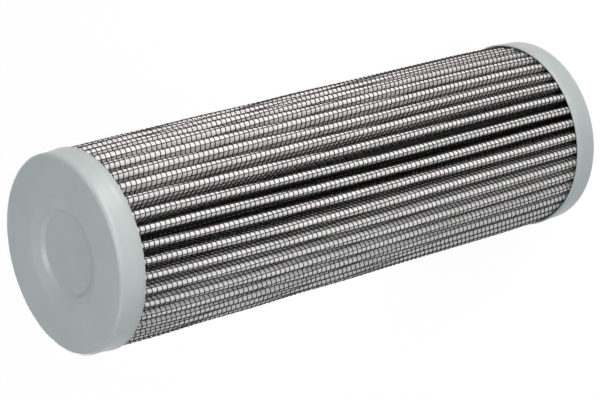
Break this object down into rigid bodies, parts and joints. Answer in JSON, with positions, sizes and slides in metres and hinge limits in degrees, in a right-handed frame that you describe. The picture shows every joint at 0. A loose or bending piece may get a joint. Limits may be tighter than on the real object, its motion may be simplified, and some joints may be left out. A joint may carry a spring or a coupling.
{
  "type": "hydraulic filter element",
  "caption": "Replaceable hydraulic filter element: pleated glass-fibre pack under black wire cloth, between two pale grey pressed caps, one closed and dished, one with a sealed bore.",
  "frame": {"origin": "centre of the open cap's flat outer face, which the element stands on", "axes": "+Z along the element's axis, from the open cap to the closed cap; +X and +Y are any two directions across it"},
  "size_m": [0.05, 0.05, 0.154],
  "materials": {
    "cap_steel": "satin pale grey",
    "coated_wire": "black epoxy coating, satin",
    "glass_fibre": "white glass-fibre medium, matte",
    "bare_wire": "plain woven steel",
    "core_steel": "zinc-plated, satin",
    "adhesive": "dark cured epoxy, satin",
    "seal_rubber": "black nitrile rubber"
  },
  "bodies": {
    "root": {"closed_end_cap": "cap_steel", "closed_end_potting": "adhesive", "outer_wire_mesh": "coated_wire", "filter_media": "glass_fibre", "inner_wire_mesh": "bare_wire", "side_seam_adhesive": "adhesive", "core_tube": "core_steel", "open_end_potting": "adhesive", "open_end_cap": "cap_steel", "o_ring": "seal_rubber"}
  },
  "joints": []
}
